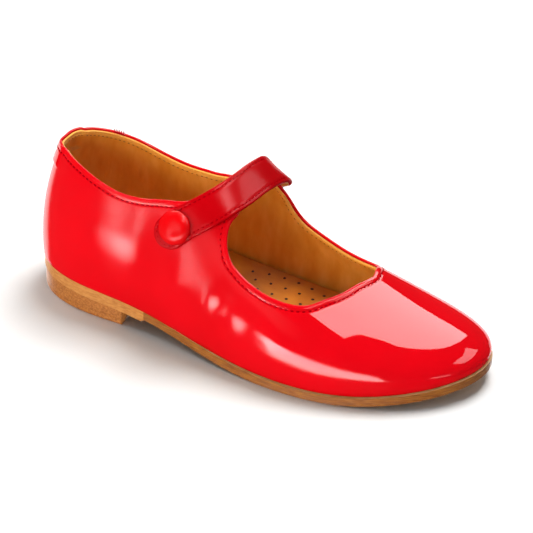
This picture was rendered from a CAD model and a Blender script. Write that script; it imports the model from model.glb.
# %% [markdown]
# # A child's mary jane shoe in red patent leather
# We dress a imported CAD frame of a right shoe: upper, strap, button, insole, sole and heel.
# The frame gives true places in metres, so every new piece is made where the real one sits.
# The shoe's own numbers below are in millimetres, because shoemakers measure in them.

# %% Load the frame
import math

import bmesh
import bpy
import numpy as np
from mathutils import Matrix, Vector


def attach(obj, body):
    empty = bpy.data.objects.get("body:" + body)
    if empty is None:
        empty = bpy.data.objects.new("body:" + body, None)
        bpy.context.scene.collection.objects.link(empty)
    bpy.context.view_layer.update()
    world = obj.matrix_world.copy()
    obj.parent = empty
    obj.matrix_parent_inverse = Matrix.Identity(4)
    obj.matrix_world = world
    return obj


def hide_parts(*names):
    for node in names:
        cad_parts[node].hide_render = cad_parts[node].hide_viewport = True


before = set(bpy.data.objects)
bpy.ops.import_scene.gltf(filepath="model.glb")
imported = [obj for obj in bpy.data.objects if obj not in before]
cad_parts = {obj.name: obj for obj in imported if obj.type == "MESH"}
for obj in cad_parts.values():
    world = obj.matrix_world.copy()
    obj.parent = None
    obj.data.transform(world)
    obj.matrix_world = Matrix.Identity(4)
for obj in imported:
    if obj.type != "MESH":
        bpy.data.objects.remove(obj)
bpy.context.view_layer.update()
print("nodes:", sorted(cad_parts))

# %% [markdown]
# ## Units and colours
# Colours are written as the sRGB hex values that a colour chart shows, and one function turns
# them into the linear light that a renderer adds up. Millimetres in the shoe's own frame turn
# into metres in the row's frame by one shift and one scale.

# %% Units and colours
MM = 0.001
CENTRE_SHIFT = np.array([-0.4107, 4.7018, 0.0])


def to_row(points_mm):
    return (np.asarray(points_mm, float) + CENTRE_SHIFT) * MM


def linear(hex_colour):
    channels = [int(hex_colour[i:i + 2], 16) / 255 for i in (1, 3, 5)]
    return tuple(c / 12.92 if c < 0.04045 else ((c + 0.055) / 1.055) ** 2.4 for c in channels)


# %% [markdown]
# ## Camera
# A product shot is taken from a few steps away with a long lens, so the shoe keeps its true
# proportions. The camera stands beyond the outer side of the toe and looks down on the shoe.
# Its lens is shifted, as on a view camera, so that the shoe sits in the middle of the view.

# %% Camera
CAMERA_AZIMUTH = 21.2
CAMERA_ELEVATION = 32.1
CAMERA_ROLL = 2.8
CAMERA_DISTANCE_MM = 1055
CAMERA_AIM_MM = (9.28, 23.63, 30)
LENS_MM = 184.4
LENS_SHIFT = (-0.082, -0.060)

camera_data = bpy.data.cameras.new("product_camera")
camera_data.lens = LENS_MM
camera_data.shift_x, camera_data.shift_y = LENS_SHIFT
camera = bpy.data.objects.new("product_camera", camera_data)
bpy.context.scene.collection.objects.link(camera)
turn_to_camera = (
    Matrix.Rotation(math.radians(CAMERA_AZIMUTH), 4, "Z")
    @ Matrix.Rotation(math.radians(90 - CAMERA_ELEVATION), 4, "X")
    @ Matrix.Rotation(math.radians(CAMERA_ROLL), 4, "Z")
)
away = turn_to_camera.to_3x3() @ Vector((0, 0, CAMERA_DISTANCE_MM * MM))
camera.matrix_world = Matrix.Translation(Vector(to_row(CAMERA_AIM_MM)) + away) @ turn_to_camera
bpy.context.scene.camera = camera
print("camera at", [round(c, 3) for c in camera.matrix_world.translation])

# %% [markdown]
# ## Nodes for materials
# Every material is a small graph. One helper adds a node, sets its settings and input values,
# and joins it to nodes made before, so that each material reads as a short list.

# %% Node helper
LEAST_CLOUD = 0.3
MOST_CLOUD = 0.7


def add_node(material, kind, settings=None, values=None, links=None):
    node = material.node_tree.nodes.new(kind)
    for name, value in (settings or {}).items():
        setattr(node, name, value)
    for name, value in (values or {}).items():
        node.inputs[name].default_value = value
    for name, source in (links or {}).items():
        material.node_tree.links.new(source, node.inputs[name])
    return node


def new_material(name, values):
    material = bpy.data.materials.new(name)
    material.use_nodes = True
    shader = material.node_tree.nodes["Principled BSDF"]
    for socket, value in values.items():
        shader.inputs[socket].default_value = value
    return material, shader


def colour(hex_colour):
    return (*linear(hex_colour), 1.0)


def hide_pattern(material, size_mm, detail=2.0, stretch=(1, 1, 1)):
    """Cloudy shares from 0 to 1 whose spots are size_mm across on the real thing."""
    place = add_node(material, "ShaderNodeTexCoord").outputs["Object"]
    stretched = add_node(material, "ShaderNodeMapping", values={"Scale": stretch}, links={"Vector": place})
    spots = add_node(material, "ShaderNodeTexNoise", links={"Vector": stretched.outputs["Vector"]},
                     values={"Scale": 1 / (size_mm * MM), "Detail": detail})
    return spots.outputs["Fac"]


def cloud_colour(material, shader, pattern, shades):
    """Lets the base colour drift through the shades, darkest first."""
    band = add_node(material, "ShaderNodeValToRGB", links={"Fac": pattern})
    elements = band.color_ramp.elements
    while len(elements) < len(shades):
        elements.new(0.5)
    for k, shade in enumerate(shades):
        elements[k].position = LEAST_CLOUD + (MOST_CLOUD - LEAST_CLOUD) * k / (len(shades) - 1)
        elements[k].color = colour(shade)
    material.node_tree.links.new(band.outputs["Color"], shader.inputs["Base Color"])


def raise_grain(material, shader, pattern, depth_mm, sockets=("Normal",)):
    """Gives the surface a relief of depth_mm, and its lacquer too where that is asked for."""
    relief = add_node(material, "ShaderNodeBump", values={"Distance": depth_mm * MM},
                      links={"Height": pattern})
    for socket in sockets:
        material.node_tree.links.new(relief.outputs["Normal"], shader.inputs[socket])


# %% [markdown]
# ## Floor and light
# Patent leather is a mirror with colour under it, so two sets of lights do two jobs. Soft
# fills light the colour and the paper, and leave no image in the lacquer. Bright panels are
# there for the lacquer only: a long one hangs over the toe and lies in the vamp as a crisp
# pale patch, others stand low at the near side and draw the soft streaks along the wall. The
# paper is kept out of the mirror too, so that the red stays deep right down to the sole, and
# the low fill at the near side passes it by, so that a shadow lies beneath the shoe.

# %% Floor
FLOOR_HALF_WIDTH = 6.0
floor_mesh = bpy.data.meshes.new("studio_floor")
sheet = bmesh.new()
bmesh.ops.create_grid(sheet, x_segments=1, y_segments=1, size=FLOOR_HALF_WIDTH)
sheet.to_mesh(floor_mesh)
sheet.free()
studio_floor = bpy.data.objects.new("studio_floor", floor_mesh)
bpy.context.scene.collection.objects.link(studio_floor)
floor_paper, floor_shader = new_material("white_background_paper", {
    "Base Color": colour("#F6F6F6"),
    "Roughness": 0.9,
    "Specular IOR Level": 0.2,
})
cloud_colour(floor_paper, floor_shader, hide_pattern(floor_paper, 400), ["#F4F4F4", "#F7F7F7"])
floor_mesh.materials.append(floor_paper)
studio_floor.visible_glossy = False

# %% Lights
world = bpy.data.worlds.new("studio_air")
world.use_nodes = True
world.node_tree.nodes["Background"].inputs["Color"].default_value = colour("#FFFFFF")
world.node_tree.nodes["Background"].inputs["Strength"].default_value = 0.22
bpy.context.scene.world = world
bpy.context.scene.view_settings.view_transform = "Standard"
SHOE_MIDDLE_MM = (20, 0, 25)
FILL_DISTANCE_MM = 1200
PANEL_DISTANCE_MM = 900


def aim_light(light, place, aim, roll):
    facing = (aim - place).to_track_quat("-Z", "Y").to_matrix().to_4x4()
    light.matrix_world = Matrix.Translation(place) @ facing @ Matrix.Rotation(math.radians(roll), 4, "Z")


def softbox(name, aim_mm, azimuth, elevation, distance_mm, size_mm, radiance, roll=0, mirrored=False):
    """A lit rectangle seen from aim_mm at an azimuth and an elevation, in degrees."""
    data = bpy.data.lights.new(name, "AREA")
    data.shape = "RECTANGLE"
    data.size = size_mm[0] * MM
    data.size_y = size_mm[1] * MM
    data.energy = radiance * math.pi * data.size * data.size_y
    light = bpy.data.objects.new(name, data)
    bpy.context.scene.collection.objects.link(light)
    level = math.radians(elevation)
    turn = math.radians(azimuth)
    way = Vector((math.cos(turn) * math.cos(level), math.sin(turn) * math.cos(level), math.sin(level)))
    aim = Vector(to_row(aim_mm))
    aim_light(light, aim + way * distance_mm * MM, aim, roll)
    light.visible_glossy = mirrored
    light.visible_diffuse = not mirrored
    return light


def keep_off_paper(light):
    """The light passes the paper by, as if a flag stood before it, and only reaches the shoe."""
    shaded = bpy.data.collections.new("shaded_from_" + light.name)
    shaded.objects.link(studio_floor)
    light.light_linking.receiver_collection = shaded
    shaded.collection_objects[0].light_linking.link_state = "EXCLUDE"


def panel(name, aim_mm, azimuth, elevation, size_mm, radiance, roll=0, distance_mm=PANEL_DISTANCE_MM):
    """A bright panel that only the lacquer mirrors, and that the camera does not see."""
    light = softbox(name, aim_mm, azimuth, elevation, distance_mm, size_mm, radiance, roll,
                    mirrored=True)
    light.visible_camera = False
    return light


softbox("top_key", SHOE_MIDDLE_MM, 80, 70, FILL_DISTANCE_MM, (560, 560), 15)
near_fill = softbox("near_fill", SHOE_MIDDLE_MM, -105, 18, FILL_DISTANCE_MM, (800, 500), 11)
keep_off_paper(near_fill)
softbox("heel_fill", SHOE_MIDDLE_MM, 175, 50, FILL_DISTANCE_MM, (700, 700), 2.5)
panel("vamp_panel", (62, -14, 27), 42.4, 66.5, (1450, 180), 22, roll=-38)
panel("toe_panel", (87, -5, 17), 30, 42, (640, 200), 12)
panel("quarter_streak", (-20, -30, 38), -125, -7, (5, 150), 38, roll=-12, distance_mm=220)
panel("side_streak", (45, -37, 16), -92, -20, (1100, 270), 50, roll=14)
panel("edge_glint", SHOE_MIDDLE_MM, 112, 34, (900, 260), 16)
panel("toe_glint", (81, -20, 13), -26, -6, (240, 40), 26)
panel("far_paper", SHOE_MIDDLE_MM, 112, -24, (2000, 700), 4.5)

# %% [markdown]
# ## The last
# A shoe takes its form from a last. Its surface here is one function: `turn` goes round the
# foot from the heel's back (0 degrees) by the outer side to the toe (180) and back by the inner
# side, and `climb` goes up each rib from the feather edge (0), where upper meets sole, to the
# ridge of the instep (1). Each short table has one row per section along the foot.

# %% Tables of the last
HEEL_END_X = -91.5
TOE_END_X = 91.5
RIDGE_HEEL_X = -62
RIDGE_TOE_X = 26
PLAN_COLUMNS = ("u", "lateral", "medial", "lateral_full", "medial_full", "tuck")
PLAN_ROWS = [
    (0.0, 42.3, 42.3, -0.12, -0.12, 8),
    (0.12, 37.7, 38.6, -0.05, -0.06, 10.5),
    (0.25, 32.6, 29.8, -0.03, -0.04, 12.8),
    (0.4, 32.0, 27.8, 0.0, 0.26, 15.9),
    (0.55, 33.2, 30.6, 0.05, 0.06, 17.8),
    (0.7, 35.6, 32.2, 0.11, -0.07, 18.4),
    (0.85, 38.4, 35.8, 0.16, 0.06, 15),
    (1.0, 41.2, 41.2, 0.18, 0.14, 10),
]
CENTRE_ROWS = [(0.0, -0.1), (0.33, 2.0), (0.67, -5.2), (1.0, 0.9)]
FEATHER_ROWS = [(-92, 13.7), (-50, 11.6), (-20, 7.6), (8, 4.1), (26, 3.6), (44, 3.75), (65, 5.6), (92, 9.8)]
CROWN_ROWS = [(-92, 91.2), (-55, 89.0), (-20, 71.9), (10, 51.5), (40, 36.8), (65, 28.0), (92, 22.5)]
# Each row is a point of the top edge: turn, climb, and the turn of its column at the sole.
TOPLINE_ROWS = [
    (0, 0.462, 0), (15.5, 0.479, 15.5), (24, 0.476, 24), (36, 0.456, 36), (47.2, 0.431, 47.2),
    (55.1, 0.425, 55.1), (62, 0.45, 62), (68, 0.5, 67.8), (74.4, 0.565, 73.2), (79, 0.63, 77.2),
    (83, 0.69, 80.4), (88, 0.765, 83.2), (93, 0.845, 85.6), (97.6, 0.868, 86.6),
    (95.9, 0.8, 87.1), (92.9, 0.735, 87.6), (91.1, 0.68, 88.2), (90.1, 0.622, 88.9),
    (90, 0.575, 89.6), (90.6, 0.54, 90.8), (92.5, 0.515, 92.8), (98.4, 0.505, 98.4),
    (106, 0.533, 106), (114.5, 0.593, 114.5), (126.3, 0.7, 126.3), (144, 0.8, 144),
    (161, 0.846, 161), (180, 0.857, 180), (197, 0.838, 197), (212, 0.785, 212),
    (224.5, 0.7, 224.5), (234, 0.615, 234), (241.5, 0.565, 241.5), (247.5, 0.535, 247.5),
    (253, 0.492, 253), (258.5, 0.452, 258.5), (262.3, 0.427, 262.3), (265, 0.421, 264.8),
    (266.8, 0.443, 266.6), (267.5, 0.485, 267.8), (267.6, 0.54, 268.6), (267.9, 0.6, 269.4),
    (268.8, 0.65, 270.2), (271, 0.67, 271.6), (274.8, 0.6, 275), (279.2, 0.44, 279.2),
    (283.7, 0.355, 283.7), (289.2, 0.325, 289.2), (294.6, 0.325, 294.6), (301.4, 0.335, 301.4),
    (309.4, 0.347, 309.4), (319.4, 0.376, 319.4), (330.6, 0.42, 330.6), (339.8, 0.45, 339.8),
    (350.5, 0.467, 350.5),
]


# %% Smooth curves through a table
def spline(xs, ys):
    xs = np.asarray(xs, float)
    ys = np.asarray(ys, float)
    gaps = np.diff(xs)
    inner = len(xs) - 2
    system = np.zeros((inner, inner))
    for i in range(inner):
        system[i, i] = 2 * (gaps[i] + gaps[i + 1])
        if i > 0:
            system[i, i - 1] = gaps[i]
        if i < inner - 1:
            system[i, i + 1] = gaps[i + 1]
    change = 6 * np.diff(np.diff(ys) / gaps)
    bend = np.concatenate([[0], np.linalg.solve(system, change), [0]])

    def curve(x):
        x = np.asarray(x, float)
        i = np.clip(np.searchsorted(xs, x) - 1, 0, len(xs) - 2)
        width = gaps[i]
        right = np.clip((x - xs[i]) / width, 0, 1)
        left = 1 - right
        cubic = (left ** 3 - left) * bend[i] + (right ** 3 - right) * bend[i + 1]
        inside = left * ys[i] + right * ys[i + 1] + cubic * width * width / 6
        first = (ys[1] - ys[0]) / gaps[0] - gaps[0] * bend[1] / 6
        final = (ys[-1] - ys[-2]) / gaps[-1] + gaps[-1] * bend[-2] / 6
        return inside + np.minimum(0, x - xs[0]) * first + np.maximum(0, x - xs[-1]) * final

    return curve


plan = {}
for column, name in enumerate(PLAN_COLUMNS):
    plan[name] = spline([row[0] for row in PLAN_ROWS], [row[column] for row in PLAN_ROWS])
centre_y = spline(*zip(*CENTRE_ROWS))
feather_z = spline(*zip(*FEATHER_ROWS))
crown_z = spline(*zip(*CROWN_ROWS))


# %% The last's surface
TINY_TURN = 0.001
TINY_SHARE = 0.0004


def along_foot(turn):
    return (1 - np.cos(turn)) / 2


def feather_plan(turn):
    u = along_foot(turn)
    side = np.sin(turn)
    width = np.where(side >= 0, plan["lateral"](u), plan["medial"](u))
    return np.stack([HEEL_END_X + (TOE_END_X - HEEL_END_X) * u, centre_y(u) - width * side], -1)


def feather_offset(turn, out):
    along = feather_plan(turn + TINY_TURN) - feather_plan(turn - TINY_TURN)
    along /= np.linalg.norm(along, axis=-1, keepdims=True)
    outward = np.stack([along[..., 1], -along[..., 0]], -1)
    return feather_plan(turn) + outward * np.asarray(out)[..., None]


def smoothstep(x, low, high):
    t = np.clip((np.asarray(x) - low) / (high - low), 0, 1)
    return t * t * (3 - 2 * t)


def last_point(turn, climb):
    u = along_foot(turn)
    foot = feather_plan(turn)
    ridge = np.stack([RIDGE_HEEL_X + (RIDGE_TOE_X - RIDGE_HEEL_X) * u, centre_y(u)], -1)
    medial_share = smoothstep(-np.sin(turn), -0.5, 0.5)
    full = plan["lateral_full"](u) * (1 - medial_share) + plan["medial_full"](u) * medial_share
    tuck = np.radians(plan["tuck"](u))
    angle = -tuck + (np.pi / 2 + tuck) * climb
    reach = np.cos(angle) * (1 + full * np.sin(angle) ** 2)
    reach = reach / (np.cos(tuck) * (1 + full * np.sin(tuck) ** 2))
    low = np.sin(tuck) * (1 + full * np.cos(tuck) ** 2)
    height = (np.sin(angle) * (1 + full * np.cos(angle) ** 2) + low) / (1 + low)
    flat = ridge + (foot - ridge) * reach[..., None]
    floor = feather_z(flat[..., 0])
    return np.concatenate([flat, (floor + (crown_z(flat[..., 0]) - floor) * height)[..., None]], -1)


def unit(vectors):
    return vectors / np.linalg.norm(vectors, axis=-1, keepdims=True)


def last_normal(turn, climb):
    around = last_point(turn + TINY_TURN, climb) - last_point(turn - TINY_TURN, climb)
    up = last_point(turn, climb + TINY_TURN) - last_point(turn, climb - TINY_TURN)
    return unit(np.cross(around, up))


# %% [markdown]
# ## The top edge
# The collar, the two tabs that rise beneath the strap, and the throat are one closed line on
# the last. A closed curve through the table's rows gives it, and with each of its points
# comes the turn where that column of leather meets the sole.

# %% The top edge
topline_table = np.array(TOPLINE_ROWS, float)
topline_table[:, [0, 2]] = np.radians(topline_table[:, [0, 2]])
COLUMN_LEAN = 4
DEPTH_STEPS = 4


def closed_curve(rows, share, lap):
    count = len(rows)
    at = np.asarray(share, float) * count
    index = np.floor(at).astype(int)
    t = (at - index)[:, None]
    a, b, c, d = (rows[(index + k) % count] + lap * ((index + k) // count)[:, None] for k in (-1, 0, 1, 2))
    square = 2 * a - 5 * b + 4 * c - d
    cube = 3 * b - a - 3 * c + d
    return 0.5 * (2 * b + (c - a) * t + square * t * t + cube * t ** 3)


lap_turn = np.array([2 * np.pi, 0.0, 2 * np.pi])


def topline(share):
    """Turn and climb of the top edge, and the turn where that column meets the sole."""
    return closed_curve(topline_table, share, lap_turn).T


def on_column(edge_turn, edge_climb, foot, share_up):
    """A column keeps to its foot's turn and leans over to the edge only near the top."""
    return foot + (edge_turn - foot) * share_up ** COLUMN_LEAN, edge_climb * share_up


def even_shares(count):
    """Shares of the way round that give evenly spaced points on the top edge."""
    fine = np.linspace(0, 1, 4001)
    turn, climb, _ = topline(fine)
    points = last_point(turn, climb)
    length = np.concatenate([[0], np.cumsum(np.linalg.norm(np.diff(points, axis=0), axis=1))])
    return np.interp(np.linspace(0, length[-1], count + 1), length, fine), length[-1]


_, topline_length = even_shares(10)
print("top edge length:", round(topline_length, 1), "mm")


def step_on_last(turn, climb, move):
    """Turn and climb after a small move, in millimetres, along the surface."""
    around = (last_point(turn + TINY_TURN, climb) - last_point(turn - TINY_TURN, climb)) / (2 * TINY_TURN)
    up = (last_point(turn, climb + TINY_TURN) - last_point(turn, climb - TINY_TURN)) / (2 * TINY_TURN)
    aa = (around * around).sum(-1)
    ab = (around * up).sum(-1)
    bb = (up * up).sum(-1)
    am = (around * move).sum(-1)
    bm = (up * move).sum(-1)
    det = aa * bb - ab * ab
    return turn + (bb * am - ab * bm) / det, climb + (aa * bm - ab * am) / det


def down_from_topline(share):
    """Turn and climb of the top edge, and the way down the wall square to that edge."""
    turn, climb, _ = topline(share)
    ahead = last_point(*topline(share + TINY_SHARE)[:2])
    behind = last_point(*topline(share - TINY_SHARE)[:2])
    return turn, climb, unit(np.cross(unit(ahead - behind), last_normal(turn, climb)))


def below_topline(share, depth_mm):
    """Turn and climb of the line that runs depth_mm under the top edge."""
    turn, climb, down = down_from_topline(share)
    move = down * (np.asarray(depth_mm, float) / DEPTH_STEPS)[..., None]
    for _ in range(DEPTH_STEPS):
        turn, climb = step_on_last(turn, climb, move)
    return turn, climb


_, _, heel_down = down_from_topline(np.array([0.0]))
print("down at the heel:", np.round(heel_down[0], 2))

# %% [markdown]
# ## Wrapping a grid
# A flat grid is the simplest start for leather: one operator makes it, and each of its points
# is then laid where the pattern says. A grid that closes on itself has its doubles merged,
# so that the seam disappears, before its normals are turned outward.

# %% Wrapping helpers
def wrap_grid(name, across, up, place, close_gap_mm=0.0005):
    """A grid of across x up cells, laid by place(share_across, share_up), seams merged."""
    piece = bmesh.new()
    bmesh.ops.create_grid(piece, x_segments=across, y_segments=up, size=1.0)
    flat = np.array([v.co for v in piece.verts])
    points = to_row(place(np.round((flat[:, 0] + 1) / 2, 7), np.round((flat[:, 1] + 1) / 2, 7)))
    for vertex, point in zip(piece.verts, points):
        vertex.co = point
    bmesh.ops.remove_doubles(piece, verts=piece.verts, dist=close_gap_mm * MM)
    return finish_piece(name, piece)


def finish_piece(name, piece):
    bmesh.ops.recalc_face_normals(piece, faces=piece.faces)
    if piece.calc_volume(signed=True) < 0:
        bmesh.ops.reverse_faces(piece, faces=piece.faces)
    mesh = bpy.data.meshes.new(name)
    for face in piece.faces:
        face.smooth = True
    piece.to_mesh(mesh)
    piece.free()
    made = bpy.data.objects.new(name, mesh)
    bpy.context.scene.collection.objects.link(made)
    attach(made, "root")
    print(name, "faces:", len(mesh.polygons))
    return made


# %% [markdown]
# ## Creases
# Leather that has been pulled over a last and worn is never as even as a drawing. Each crease
# is a soft trough or ridge in the surface: a place on the last, a direction, a length, a width
# and a height, which is negative for a trough.

# %% Creases
CREASE_COLUMNS = ("turn", "climb", "tilt", "long", "wide", "height")
CREASE_ROWS = [
    (88, 0.30, 70, 12, 4.0, -0.3),
    (84, 0.24, 60, 14, 4.5, 0.22),
    (95, 0.28, 80, 12, 4.5, -0.22),
    (103, 0.33, 100, 11, 5.0, 0.19),
    (64, 0.30, 85, 18, 6.0, -0.25),
    (74, 0.22, 75, 14, 5.0, 0.22),
    (45, 0.26, 80, 16, 7.0, 0.17),
    (115, 0.30, 110, 14, 7.0, -0.14),
    (272, 0.26, 80, 15, 6.0, -0.22),
    (258, 0.25, 95, 14, 6.0, 0.17),
    (300, 0.22, 85, 16, 7.0, -0.17),
]


def crease_lift(points, turn):
    lift = np.zeros(len(points))
    for row in CREASE_ROWS:
        crease = dict(zip(CREASE_COLUMNS, row))
        centre_turn = np.radians([crease["turn"]])
        centre = last_point(centre_turn, np.array([crease["climb"]]))[0]
        tilt = math.radians(crease["tilt"])
        away_from = points - centre
        along = away_from[:, 0] * math.cos(tilt) + away_from[:, 2] * math.sin(tilt)
        across = away_from[:, 2] * math.cos(tilt) - away_from[:, 0] * math.sin(tilt)
        same_side = np.sin(turn) * np.sin(centre_turn) > 0
        fall = np.exp(-(along / crease["long"]) ** 2 - (across / crease["wide"]) ** 2)
        lift += np.where(same_side, crease["height"] * fall, 0)
    return lift


# %% [markdown]
# ## Upper: patent leather
# The outside skin is patent leather about 1.1 mm thick. It comes up the wall, folds over at the
# top edge and goes down inside for the lining to lie against; at the bottom it turns in under
# the last. One closed profile, carried once round the shoe, makes skin, fold and turn-in
# together. A groove lies under the top stitching, where the thread pulls the leather in.

# %% Upper skin
SKIN = 1.15
WALL = 2.0
FOLD_RISE = 0.55
STITCH_DEPTH = 2.0
EDGE_BAND = 2.9
TURN_IN = 3.0
ROW_CROWDING = 0.85
WALL_COLUMNS = 520
STAY_HALF_WIDTH = 11.0
STAY_LONG = 8.5
STAY_THICK = 0.75
STAY_SOFT_EDGE = 0.4
STAY_SOFT_SIDE = 0.6
GROOVE_DEEP = 0.24
GROOVE_WIDE = 0.4
PILLOW_HIGH = 0.12
PILLOW_DEPTH = 0.7
PILLOW_WIDE = 0.6


def surface_lift(points, turn, around, depth):
    """Creases, the groove under the stitches, the pillow above it and the heel's back stay."""
    groove = -GROOVE_DEEP * np.exp(-((depth - STITCH_DEPTH) / GROOVE_WIDE) ** 2)
    pillow = PILLOW_HIGH * np.exp(-((depth - PILLOW_DEPTH) / PILLOW_WIDE) ** 2)
    from_heel = np.minimum(around % 1, 1 - around % 1) * topline_length
    stay_down = 1 - smoothstep(depth, STAY_LONG - STAY_SOFT_EDGE, STAY_LONG + STAY_SOFT_EDGE)
    stay_wide = 1 - smoothstep(from_heel, STAY_HALF_WIDTH - STAY_SOFT_SIDE, STAY_HALF_WIDTH + STAY_SOFT_SIDE)
    return crease_lift(points, turn) + groove + pillow + STAY_THICK * stay_down * stay_wide


def wall_place(around, up, depth, lift, above):
    """Points of the wall: up to the edge band by columns, then square to the edge by depth."""
    foot = topline(around)[2]
    low_turn, low_climb = below_topline(around, 0 * around + EDGE_BAND)
    wall_turn, wall_climb = on_column(low_turn, low_climb, foot, up)
    band_turn, band_climb = below_topline(around, depth)
    in_band = up >= 1
    turn = np.where(in_band, band_turn, wall_turn)
    climb = np.where(in_band, band_climb, wall_climb)
    points = last_point(turn, climb)
    low_height = np.linalg.norm(last_point(low_turn, low_climb) - points, axis=1)
    true_depth = np.where(in_band, depth, EDGE_BAND + low_height)
    lift = lift + surface_lift(points, turn, around, true_depth)
    _, _, down = down_from_topline(around)
    return points + last_normal(turn, climb) * lift[:, None] - down * above[:, None]


def wall_profile(wall_rows, band_rows, fold_rows, inner_wall_rows, inner_band_rows, outer, inner, drop):
    """Rows (up, depth, lift, above): up the outside, over the fold and down the inside."""
    rows = [(up, EDGE_BAND, outer, 0) for up in np.linspace(0, 1, wall_rows) ** ROW_CROWDING][:-1]
    rows += [(1, depth, outer, 0) for depth in np.linspace(EDGE_BAND, drop, band_rows)]
    middle = (outer + inner) / 2
    half = (outer - inner) / 2
    for k in range(1, fold_rows):
        angle = math.pi * k / fold_rows
        rows.append((1, drop, middle + half * math.cos(angle), min(FOLD_RISE, half) * math.sin(angle)))
    rows += [(1, depth, inner, 0) for depth in np.linspace(drop, EDGE_BAND, inner_band_rows)]
    rows += [(up, EDGE_BAND, inner, 0) for up in np.linspace(1, 0, inner_wall_rows) ** ROW_CROWDING][1:]
    return np.array(rows)


def wrap_profile(name, profile, turned_in, columns):
    """Carries the closed profile round the shoe; turned_in rows close it under the last."""
    shares, _ = even_shares(columns)
    turned_in = np.array(turned_in)
    total = len(profile) + len(turned_in)

    def place(across, up):
        around = shares[np.round(across * columns).astype(int) % columns]
        row = np.round(up * total).astype(int) % total
        on_wall = (row < len(profile))[:, None]
        wall = wall_place(around, *profile[np.minimum(row, len(profile) - 1)].T)
        flat_row = turned_in[np.clip(row - len(profile), 0, len(turned_in) - 1)]
        flat = feather_offset(topline(around)[2], -flat_row[:, 0])
        flat = np.column_stack([flat, feather_z(flat[:, 0]) + flat_row[:, 1]])
        return np.where(on_wall, wall, flat)

    return wrap_grid(name, columns, total, place)


skin_profile = wall_profile(64, 20, 8, 10, 8, 0.0, -SKIN, 0.0)
upper_skin = wrap_profile("upper_patent_skin", skin_profile, [(TURN_IN, SKIN), (TURN_IN, 0.0)], WALL_COLUMNS)
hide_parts("upper")

# %% [markdown]
# ## Upper: lining
# The inside is a soft tan leather lining. It stops just under the fold, where its cut edge
# shows as a bright line round the collar and throat, because the dye never reaches the core.

# %% Lining
LINING_OUT = -SKIN - 0.05
LINING_IN = -WALL - 0.1
LINING_DROP = 0.5

lining_profile = wall_profile(4, 4, 4, 60, 16, LINING_OUT, LINING_IN, LINING_DROP)
lining_under = [(TURN_IN + 5, WALL), (TURN_IN + 5, SKIN + 0.05)]
lining = wrap_profile("upper_lining", lining_profile, lining_under, 400)
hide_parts("upper")

# %% [markdown]
# ## Sole, heel and insole
# Each is a plate on the foot's outline. A grid is wrapped round the plate's section: over the
# top, down the outer edge, under the bottom and up the inner edge, and it closes to a point at
# both ends. The edge has its own rows, so it can be rounded, grooved or stepped.

# %% Plate helper
SOLE_GAP = 0.05
EDGE_SWITCH = 0.42


def wrap_plate(name, along_rows, first_turn, last_turn, edge_profile, out, top_z, bottom_z, across=24):
    """edge_profile rows are (share_down, bulge): 0 at the top of the edge, 1 at the bottom."""
    edge_profile = np.array(edge_profile, float)
    edge_count = len(edge_profile)
    loop = 2 * (edge_count + across)

    def place(share_along, share_loop):
        turn = first_turn + (last_turn - first_turn) * share_along
        u = along_foot(turn)
        k = np.round(share_loop * loop).astype(int) % loop
        lateral = k < edge_count
        under = (k >= edge_count) & (k < edge_count + across)
        medial = (k >= edge_count + across) & (k < 2 * edge_count + across)
        j = np.where(lateral, k, np.where(medial, 2 * edge_count + across - 1 - k, 0))
        edge_row_down, edge_row_bulge = edge_profile[np.clip(j, 0, edge_count - 1)].T
        down = np.where(lateral | medial, edge_row_down, np.where(under, 1.0, 0.0))
        edge = edge_profile[-1, 1]
        cross_under = (k - edge_count + 1) / (across + 1)
        cross_over = (k - 2 * edge_count - across + 1) / (across + 1)
        reach = out(u) + np.where(lateral | medial, edge_row_bulge, edge)
        outer = feather_offset(turn, reach)
        inner = feather_offset(2 * np.pi - turn, reach)
        cross = np.where(lateral, 0.0, np.where(medial, 1.0, np.where(under, cross_under, 1 - cross_over)))
        flat = outer + (inner - outer) * cross[:, None]
        high = top_z(flat[:, 0])
        low = bottom_z(flat[:, 0])
        return np.column_stack([flat, high + (low - high) * down])

    return wrap_grid(name, along_rows, loop, place, 0.02)


# %% Outsole
REAR_SOLE = 4.9
FORE_SOLE = 3.5
PLY_END_X = -37.0
PLY_BEVEL = 2.4


def sole_edge(u):
    fore = 1 / (1 + np.exp((EDGE_SWITCH - u) / 0.06))
    return -0.3 + 1.5 * fore


def sole_top(x):
    return feather_z(x) - SOLE_GAP


def sole_bottom(x):
    rear = 1 - smoothstep(x, PLY_END_X - PLY_BEVEL, PLY_END_X)
    return np.maximum(0, feather_z(x) - 0.3 - FORE_SOLE - (REAR_SOLE - FORE_SOLE) * rear)


GROOVES = 5
groove_rows = [(0.0, -0.35), (0.02, -0.12), (0.07, 0.0)]
for groove in range(GROOVES):
    start = 0.1 + 0.7 * groove / GROOVES
    groove_rows += [(start, 0.0), (start + 0.04, -0.09), (start + 0.08, 0.0)]
groove_rows += [(0.82, 0.0), (0.86, -0.16), (0.9, -0.02), (0.96, -0.08), (1.0, -0.4)]
outsole = wrap_plate("outsole_leather", 420, 0.0, np.pi, groove_rows, sole_edge, sole_top, sole_bottom)
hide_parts("outsole")

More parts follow.
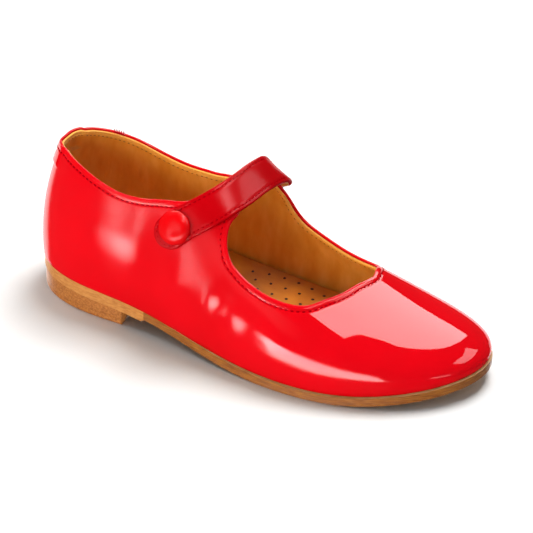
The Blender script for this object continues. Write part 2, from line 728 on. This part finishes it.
# %% Heel block
HEEL_BREAST_X = -48
breast_turn = math.acos(1 - 2 * (HEEL_BREAST_X - HEEL_END_X) / (TOE_END_X - HEEL_END_X))
heel_rows = [(0.0, -0.3), (0.03, -0.06), (0.1, 0.0), (0.3, 0.0), (0.5, 0.0), (0.7, 0.0), (0.72, -0.07),
             (0.74, 0.0), (0.9, 0.0), (0.97, -0.08), (1.0, -0.35)]
heel_block = wrap_plate("heel_stack", 120, 0.0, breast_turn, heel_rows, lambda u: -0.85 + 0 * u,
                        lambda x: sole_bottom(x) - SOLE_GAP, lambda x: 0 * x)
heel_mesh = bmesh.new()
heel_mesh.from_mesh(heel_block.data)
open_edges = [e for e in heel_mesh.edges if e.is_boundary]
bmesh.ops.holes_fill(heel_mesh, edges=open_edges, sides=0)
bmesh.ops.recalc_face_normals(heel_mesh, faces=heel_mesh.faces)
heel_mesh.to_mesh(heel_block.data)
print("heel boundary edges closed:", len(open_edges))
heel_mesh.free()
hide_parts("heel_block")

# %% Insole
INSOLE_TOP = WALL + 0.3 + 2.0
SOCK_INSET = 1.1
SOCK_THICK = 0.6


def insole_top(x):
    return feather_z(x) + INSOLE_TOP


insole_rows = [(0.0, -0.5), (0.1, -0.2), (0.3, 0.0), (1.0, 0.0)]
insole = wrap_plate("insole_sock", 240, 0.0, np.pi, insole_rows, lambda u: -WALL - SOCK_INSET + 0 * u,
                    insole_top, lambda x: insole_top(x) - SOCK_THICK, across=48)
insole_board = wrap_plate("insole_board", 240, 0.0, np.pi, insole_rows, lambda u: -WALL - 0.2 + 0 * u,
                          lambda x: insole_top(x) - SOCK_THICK - 0.05, lambda x: feather_z(x) + WALL + 0.1,
                          across=48)
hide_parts("insole")
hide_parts("insole")

# %% [markdown]
# ## Strap
# The strap is a folded strip of patent leather on a tan backing. Its outer end is rounded and
# takes the button; it leaves the outer tab, crosses the instep in the air and bends down to the
# inner tab, where it is sewn. A table gives its centre line and the way its face looks.

# %% Strap path
STRAP_WIDTH = 13.0
STRAP_THICKNESS = 2.3
STRAP_LIFT = 0.3 + 0.35 + STRAP_THICKNESS / 2


def on_last(turn, climb):
    turn = np.radians([turn])
    climb = np.array([climb])
    face = last_normal(turn, climb)[0]
    return last_point(turn, climb)[0] + face * STRAP_LIFT, face


def in_air(x, y, z, face_x, face_y, face_z):
    return np.array([x, y, z], float), unit(np.array([face_x, face_y, face_z], float))


strap_stops = [
    on_last(70.4, 0.358),
    on_last(74.6, 0.456),
    on_last(78.9, 0.548),
    on_last(83.7, 0.646),
    on_last(89.8, 0.769),
    in_air(-6, -8.4, 63.9, 0.64, -0.14, 0.75),
    in_air(-4.2, 0, 64.3, 0.66, 0, 0.75),
    in_air(-2.9, 8, 63.4, 0.65, 0.1, 0.75),
    in_air(-2.6, 14.2, 60.8, 0.54, 0.45, 0.71),
    in_air(-3, 18.8, 57, 0.4, 0.75, 0.52),
    on_last(271.2, 0.61),
    on_last(273.6, 0.53),
    on_last(276, 0.45),
    on_last(277.9, 0.37),
]
stop_places = np.array([place for place, _ in strap_stops])
stop_faces = np.array([face for _, face in strap_stops])
stop_lengths = np.concatenate([[0], np.cumsum(np.linalg.norm(np.diff(stop_places, axis=0), axis=1))])
STRAP_LENGTH = stop_lengths[-1]
strap_line = [spline(stop_lengths, stop_places[:, axis]) for axis in range(3)]
strap_face = [spline(stop_lengths, stop_faces[:, axis]) for axis in range(3)]
print("strap length:", round(STRAP_LENGTH, 1), "mm")


def strap_frame(length):
    place = np.stack([curve(length) for curve in strap_line], -1)
    along = unit(np.stack([curve(length + 0.05) - curve(length - 0.05) for curve in strap_line], -1))
    face = np.stack([curve(length) for curve in strap_face], -1)
    across = unit(np.cross(face, along))
    return place, across, np.cross(along, across)


def strap_half_width(length, inset):
    half = STRAP_WIDTH / 2 - inset
    from_end = np.clip(length - inset, 0, half)
    return np.sqrt(np.maximum(half * half - (half - from_end) ** 2, 0))


# %% Strap body
STRAP_ROWS = 260
STRAP_SECTION = [(-1, -0.55), (-1.0, -0.1), (-0.99, 0.45), (-0.95, 0.82), (-0.88, 0.98)]
STRAP_TOP_STEPS = 22


def strap_section(width_steps):
    """Half of a rounded section as (share across, share of thickness), then mirrored."""
    left = [(-0.93, -0.95)] + STRAP_SECTION
    crown = []
    for k in range(1, width_steps):
        s = -0.88 + 1.76 * k / width_steps
        dip = -0.2 * math.exp(-((abs(s) - 0.77) / 0.06) ** 2)
        crown.append((s, 0.98 + 0.06 * (1 - s * s) + dip))
    right = [(-s, t) for s, t in reversed(left)]
    under = [(0.93 - 1.86 * k / 10, -1.0) for k in range(1, 10)]
    return np.array(left + crown + right + under)


def wrap_strap(name, section, inset, end_inset, low, high):
    """Carries a section along the strap; low and high place it in the strap's thickness."""
    loop = len(section)

    def place(share_along, share_loop):
        ease = share_along ** 1.3
        length = inset + (STRAP_LENGTH - end_inset - inset) * ease
        place_mm, across, face = strap_frame(length)
        picked = section[np.round(share_loop * loop).astype(int) % loop]
        half = np.maximum(strap_half_width(length, inset), 0.0)
        level = low + (high - low) * (picked[:, 1] + 1) / 2
        return place_mm + across * (picked[:, 0] * half)[:, None] + face * level[:, None]

    made = wrap_grid(name, STRAP_ROWS, loop, place)
    body = bmesh.new()
    body.from_mesh(made.data)
    bmesh.ops.holes_fill(body, edges=[e for e in body.edges if e.is_boundary], sides=0)
    bmesh.ops.recalc_face_normals(body, faces=body.faces)
    body.to_mesh(made.data)
    body.free()
    return made


half_thickness = STRAP_THICKNESS / 2
BACKING_THICK = 0.48
skin_section = strap_section(STRAP_TOP_STEPS)
strap_skin = wrap_strap("strap_patent", skin_section, 0.0, 0.0, -half_thickness + 0.5, half_thickness)
backing = np.array([(-1, -1), (-1, 1), (1, 1), (1, -1)], float)
strap_backing = wrap_strap("strap_backing", backing, 0.6, 0.6, -half_thickness,
                           -half_thickness + BACKING_THICK)
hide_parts("strap")
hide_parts("strap")

# %% [markdown]
# ## Button
# The button is a shallow dome covered in the same leather. A profile spun once round gives it:
# the cover rolls under at the rim, and a faint ring shows where it is gathered.

# %% Button
BUTTON_RADIUS = 6.5
BUTTON_HEIGHT = 4.4
BUTTON_TURN = 75.4
BUTTON_CLIMB = 0.474
DOME = [(0.0, 1.0), (0.15, 0.995), (0.32, 0.975), (0.5, 0.93), (0.66, 0.86), (0.8, 0.76), (0.9, 0.63),
        (0.965, 0.5), (0.995, 0.38), (1.0, 0.28), (0.985, 0.19), (0.94, 0.12), (0.85, 0.07), (0.76, 0.0),
        (0.0, 0.0)]


def make_button():
    body = bmesh.new()
    profile = [body.verts.new((r * BUTTON_RADIUS, 0, h * BUTTON_HEIGHT)) for r, h in DOME]
    edges = [body.edges.new(pair) for pair in zip(profile, profile[1:])]
    bmesh.ops.spin(body, geom=profile + edges, axis=(0, 0, 1), cent=(0, 0, 0), angle=2 * math.pi,
                   steps=64, use_merge=True)
    bmesh.ops.remove_doubles(body, verts=body.verts, dist=0.001)
    turn = np.radians([BUTTON_TURN])
    climb = np.array([BUTTON_CLIMB])
    face = last_normal(turn, climb)[0]
    seat = last_point(turn, climb)[0] + face * (STRAP_LIFT + STRAP_THICKNESS / 2 + 0.1)
    lean = Vector(face).to_track_quat("Z", "Y").to_matrix().to_4x4()
    move = Matrix.Translation(Vector(to_row(seat))) @ lean @ Matrix.Scale(MM, 4)
    bmesh.ops.transform(body, matrix=move, verts=body.verts)
    return finish_piece("covered_button", body)


button = make_button()
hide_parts("button")

# %% [markdown]
# ## Sewing
# A lockstitch shows as a row of short dashes that dip into the leather at both ends. One small
# drop of thread is laid again and again along a line, so a whole row is a single joined piece.

# %% Stitch helper
STITCH_PITCH = 2.0
STITCH_LONG = 1.25
THREAD = 0.62


def sew(name, places, alongs, faces, long_mm=STITCH_LONG, thick_mm=THREAD):
    """Lays one drop of thread at each place, long way along, on a surface that faces faces."""
    body = bmesh.new()
    for place, along, face in zip(to_row(places), unit(alongs), unit(faces)):
        across = np.cross(face, along)
        upright = np.cross(along, across)
        lay = Matrix.Translation(Vector(place)) @ Matrix(np.column_stack([
            across * thick_mm / 2, upright * thick_mm / 2, along * long_mm / 2]) * MM).to_4x4()
        bmesh.ops.create_uvsphere(body, u_segments=6, v_segments=5, radius=1.0, matrix=lay)
    return finish_piece(name, body)


def step_along(path_points, pitch):
    """Indices of the points that lie one pitch apart on a densely drawn path."""
    length = np.concatenate([[0], np.cumsum(np.linalg.norm(np.diff(path_points, axis=0), axis=1))])
    return np.searchsorted(length, np.arange(pitch / 2, length[-1], pitch))


# %% Stitches round the top edge
edge_shares, _ = even_shares(int(topline_length / STITCH_PITCH))
edge_shares = edge_shares[:-1]


def edge_row(name, depth, lift, thick):
    places = wall_place(edge_shares, 1 + 0 * edge_shares, depth + 0 * edge_shares, lift + 0 * edge_shares,
                        0 * edge_shares)
    alongs = np.roll(places, -1, axis=0) - np.roll(places, 1, axis=0)
    faces = last_normal(*below_topline(edge_shares, depth + 0 * edge_shares)) * math.copysign(1, lift)
    return sew(name, places, alongs, faces, thick_mm=thick)


top_stitches = edge_row("top_edge_stitches", STITCH_DEPTH, 0.08, THREAD)
lining_stitches = edge_row("lining_stitches", STITCH_DEPTH, LINING_IN + 0.1, 0.4)
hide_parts("upper")
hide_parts("upper")

# %% Bar tack on the collar
TACK_SHARE = 0.9365
TACK_THREADS = 5
tack_shares = TACK_SHARE + (np.arange(TACK_THREADS) - TACK_THREADS / 2) * 0.55 / topline_length
tack_turn, tack_climb, tack_down = down_from_topline(tack_shares)
tack_face = last_normal(tack_turn, tack_climb)
tack_places = last_point(tack_turn, tack_climb) - tack_face * SKIN / 2 - tack_down * (FOLD_RISE - 0.1)
bar_tack = sew("collar_bar_tack", tack_places, tack_face, -tack_down, 2.6, 0.55)
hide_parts("upper")

# %% Stitches on the strap
STRAP_INSET = 1.5
STRAP_STITCH_LIFT = 1.0
BOX_LONG = 10.5


def on_strap(path, name, thick=THREAD):
    """Sews along a path of (length, offset) rows drawn on the strap's face."""
    length, offset = np.array(path).T
    place, across, face = strap_frame(length)
    points = place + across * offset[:, None] + face * STRAP_STITCH_LIFT
    picked = step_along(points, STITCH_PITCH)
    picked = picked[(picked > 0) & (picked < len(points) - 1)]
    return sew(name, points[picked], points[picked + 1] - points[picked - 1], face[picked], thick_mm=thick)


side_offset = STRAP_WIDTH / 2 - STRAP_INSET
straight = [(length, -side_offset) for length in np.linspace(STRAP_LENGTH - STRAP_INSET, 6.6, 900)]
bend_turns = np.linspace(-math.pi / 2, math.pi / 2, 200)
round_end = [(6.5 - side_offset * math.cos(turn), side_offset * math.sin(turn)) for turn in bend_turns]
back = [(length, side_offset) for length in np.linspace(6.6, STRAP_LENGTH - STRAP_INSET, 900)]
strap_stitches = on_strap(straight + round_end + back, "strap_edge_stitches")

box_far = STRAP_LENGTH - STRAP_INSET
box_near = box_far - BOX_LONG
box_side = np.linspace(-side_offset, side_offset, 200)
box_slope = np.linspace(box_near, box_far, 200)
box_pieces = [
    on_strap([(box_far, offset) for offset in box_side], "box_stitches_end"),
    on_strap([(box_near, offset) for offset in box_side], "box_stitches_front"),
    on_strap(list(zip(box_slope, box_side)), "box_stitches_cross"),
    on_strap(list(zip(box_slope, -box_side)), "box_stitches_counter_cross"),
]
for sewn in [strap_stitches] + box_pieces:
    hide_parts("strap")

# %% [markdown]
# ## Breathing holes
# The insole sock is pricked with small round holes over the ball of the foot, in staggered
# rows. Each is a dark shallow cup in the sock's face.

# %% Breathing holes
HOLE_RADIUS = 0.75
HOLE_TAPER = 0.8
HOLE_DEEP = 0.06
HOLE_PITCH = 6.1
HOLE_ROW_PITCH = 6.3
HOLE_ROWS = 7
HOLES_IN_ROW = 8
HOLES_MIDDLE_X = 3.5
HOLES_MIDDLE_Y = 2.0
ROW_SAG = 6.0
hole_mesh = bmesh.new()
for row in range(HOLE_ROWS):
    from_middle = row - (HOLE_ROWS - 1) / 2
    for column in range(HOLES_IN_ROW):
        from_centre = (column - (HOLES_IN_ROW - 1) / 2 + (0.5 if row % 2 else 0)) * HOLE_PITCH
        hole_x = HOLES_MIDDLE_X + from_centre
        sag = ROW_SAG * (from_centre / 20) ** 2 * from_middle / 3
        hole_y = HOLES_MIDDLE_Y + from_middle * HOLE_ROW_PITCH - sag
        spot = to_row([hole_x, hole_y, insole_top(hole_x) + 0.01])
        bmesh.ops.create_cone(hole_mesh, cap_ends=True, segments=12, radius1=HOLE_RADIUS * MM,
                              radius2=HOLE_RADIUS * HOLE_TAPER * MM, depth=HOLE_DEEP * MM,
                              matrix=Matrix.Translation(Vector(spot)))
breathing_holes = finish_piece("breathing_holes", hole_mesh)
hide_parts("insole")

# %% [markdown]
# ## Finishes
# Patent leather is leather under a clear lacquer. The lacquer is a smooth coat that mirrors
# the studio; below it the red is even, with a very soft waviness from the hide. The linings
# are matt and a little cloudy, as vegetable tanned leather is.

# %% Patent leather
# Each step fades from one share to another between two places in millimetres.
HAZE_STEPS = (
    ("low", "Z", 17, 24, 1, 0),
    ("short_of_toe", "X", 58, 76, 1, 0),
    ("behind_vamp", "X", 5, 40, 1, 0),
)
HIDE_CLOUD_MM = 30
HIDE_WAVE_MM = 14


def lacquer_haze(material, shader, heel_haze, toe_haze):
    """The lacquer is haziest behind the vamp and low on the wall, and clearest on the toe."""
    place = add_node(material, "ShaderNodeTexCoord").outputs["Object"]
    axes = add_node(material, "ShaderNodeSeparateXYZ", links={"Vector": place}).outputs
    share = {}
    for name, axis, start_mm, end_mm, at_start, at_end in HAZE_STEPS:
        step = add_node(material, "ShaderNodeMapRange", {"interpolation_type": "SMOOTHSTEP"}, {
            "From Min": start_mm * MM, "From Max": end_mm * MM, "To Min": at_start, "To Max": at_end,
        }, {"Value": axes[axis]})
        share[name] = step.outputs["Result"]
    low_wall = add_node(material, "ShaderNodeMath", {"operation": "MULTIPLY"},
                        links={0: share["low"], 1: share["short_of_toe"]})
    handled = add_node(material, "ShaderNodeMath", {"operation": "MAXIMUM"},
                       links={0: low_wall.outputs["Value"], 1: share["behind_vamp"]})
    haze = add_node(material, "ShaderNodeMapRange", values={"To Min": toe_haze, "To Max": heel_haze},
                    links={"Value": handled.outputs["Value"]})
    material.node_tree.links.new(haze.outputs["Result"], shader.inputs["Coat Roughness"])


def new_patent(name, shades, wave_mm, heel_haze, toe_haze, coat):
    """Red under a clear coat that is hazier at the heel, where it was handled, than at the toe."""
    material, shader = new_material(name, {
        "Roughness": 0.6,
        "Specular IOR Level": 0.0,
        "Coat Weight": coat,
        "Coat IOR": 1.5,
    })
    cloud_colour(material, shader, hide_pattern(material, HIDE_CLOUD_MM), shades)
    waves = hide_pattern(material, HIDE_WAVE_MM, 1.0)
    raise_grain(material, shader, waves, wave_mm, ("Normal", "Coat Normal"))
    lacquer_haze(material, shader, heel_haze, toe_haze)
    return material


# Calf under a poured lacquer: an even, deep red below a clear mirror.
patent = new_patent("red_patent_leather", ["#C8000A", "#D2000E"], 0.05, 0.17, 0.02, 0.3)
# The strap is thinner leather, flexed each time it is fastened, so its red is deeper and duller.
strap_leather = new_patent("red_patent_strap", ["#A20006", "#B00008"], 0.04, 0.2, 0.2, 0.13)
# The cover is stretched over the button's dome, and the stretch softens what it mirrors.
button_patent = new_patent("red_patent_button_cover", ["#C60004", "#D00006"], 0.02, 0.24, 0.24, 0.3)
# Waxed linen thread, dyed darker than the leather: dull dashes that read as stitches.
red_thread, thread_shader = new_material("waxed_red_thread", {"Roughness": 0.6, "Specular IOR Level": 0.0})
cloud_colour(red_thread, thread_shader, hide_pattern(red_thread, 0.4), ["#860006", "#A40009"])


# %% Tan leathers
def new_leather(name, shades, cloud_mm, stretch, roughness, grain_mm, grain_depth):
    """Matt leather with clouds and grain; real pores of 0.2 mm are drawn coarser, so they show."""
    material, shader = new_material(name, {"Roughness": roughness, "Specular IOR Level": 0.3})
    cloud_colour(material, shader, hide_pattern(material, cloud_mm, 4.0, stretch), shades)
    raise_grain(material, shader, hide_pattern(material, grain_mm, 3.0, stretch), grain_depth)
    return material


# Vegetable tanned lining, undyed: warm tan, clouded upright along the wall, with no shine.
tan_lining = new_leather("tan_lining_leather", ["#D98C26", "#E39A36", "#EDA748"],
                         6, (1, 1, 0.35), 0.6, 0.9, 0.1)
# Sock leather, pressed flat: a browner, closer face with broad soft clouds.
sock_leather = new_leather("tan_sock_leather", ["#A85A08", "#B2640C", "#BC6E10"],
                           9, (1, 1, 1), 0.6, 0.7, 0.06)
# The hide's undyed core where the lining is cut: a straw-coloured line.
cut_edge = new_leather("raw_cut_leather_edge", ["#EBA13C", "#F6B450"],
                       0.8, (1, 1, 1), 0.8, 0.3, 0.05)
# Edge of rolled bend leather: its fibres lie flat, so fine streaks run along it.
natural_edge = new_leather("natural_sole_leather", ["#A7652A", "#B97838", "#C48644"],
                           2.5, (1, 1, 3), 0.5, 0.5, 0.05)
# The same edge rubbed with hot wax: darker, glossier and more strongly streaked.
burnished_edge = new_leather("burnished_sole_edge", ["#70390A", "#8E5014", "#A66822"],
                             2, (0.4, 0.4, 5), 0.4, 0.4, 0.05)
# Heel lifts of pressed leather board: a fine speckle like cork.
heel_leather = new_leather("stacked_heel_leather", ["#82491A", "#A4622A", "#B87636"],
                           0.9, (1, 1, 1.6), 0.5, 0.5, 0.06)
# The buffed bottom of the sole: pale and dull.
bottom_leather = new_leather("buffed_sole_bottom", ["#99683A", "#A97B4D", "#B58A5C"],
                             7, (1, 1, 1), 0.6, 0.5, 0.08)
# Cotton thread dyed a shade below the lining, so its dashes show softly.
tan_thread = new_leather("tan_cotton_thread", ["#7A4416", "#94581F"], 0.5, (1, 1, 1), 0.7, 0.3, 0.03)
# Fibre board beneath the sock: its rim draws a dark line along the wall.
board_dark = new_leather("dark_fibre_board", ["#4A260A", "#5A300F"], 3, (1, 1, 1), 0.8, 0.5, 0.05)
# The inside of a pricked hole, where no light reaches.
hole_dark = new_leather("pricked_hole_leather", ["#1E0E04", "#2C1706"], 1, (1, 1, 1), 0.9, 0.3, 0.02)


# %% Dressing helpers
def dress(piece, slot, *materials):
    piece.data.materials.clear()
    for material in materials:
        piece.data.materials.append(material)


def choose(piece, rule):
    """Gives each face the material number that the rule returns for its centre and normal."""
    for face in piece.data.polygons:
        face.material_index = rule(np.array(face.center) / MM - CENTRE_SHIFT, face.normal)


FACES_UP_OR_DOWN = 0.8
CUT_EDGE_REACH = 2.45


def sole_part(centre, normal):
    if abs(normal.z) > FACES_UP_OR_DOWN:
        return 2
    return 0 if centre[0] < PLY_END_X - 1 else 1


edge_line = last_point(*topline(np.linspace(0, 1, 1200, endpoint=False))[:2])


def lining_part(centre, normal):
    """The cut edge is what lies close to the top edge's line; its normal does not matter."""
    nearest = np.sqrt(((edge_line - centre) ** 2).sum(-1).min())
    return 1 if nearest < CUT_EDGE_REACH else 0


# %% Dress the pieces
dress(upper_skin, "patent_leather", patent)
dress(strap_skin, "strap_leather", strap_leather)
dress(button, "button_cover", button_patent)
dress(lining, "sock_leather", tan_lining, cut_edge)
dress(strap_backing, "strap_leather", tan_lining)
dress(insole, "sock_leather", sock_leather)
dress(insole_board, "sock_leather", board_dark)
dress(breathing_holes, "sock_leather", hole_dark)
dress(outsole, "sole_leather", natural_edge, burnished_edge, bottom_leather)
dress(heel_block, "heel_stack", heel_leather)
dress(top_stitches, "patent_leather", red_thread)
dress(bar_tack, "patent_leather", red_thread)
dress(lining_stitches, "sock_leather", tan_thread)
for sewn in [strap_stitches] + box_pieces:
    dress(sewn, "strap_leather", red_thread)
choose(outsole, sole_part)
choose(lining, lining_part)
# The white paper takes no red cast from the shoe.
for red_piece in (upper_skin, strap_skin, button):
    red_piece.visible_diffuse = False
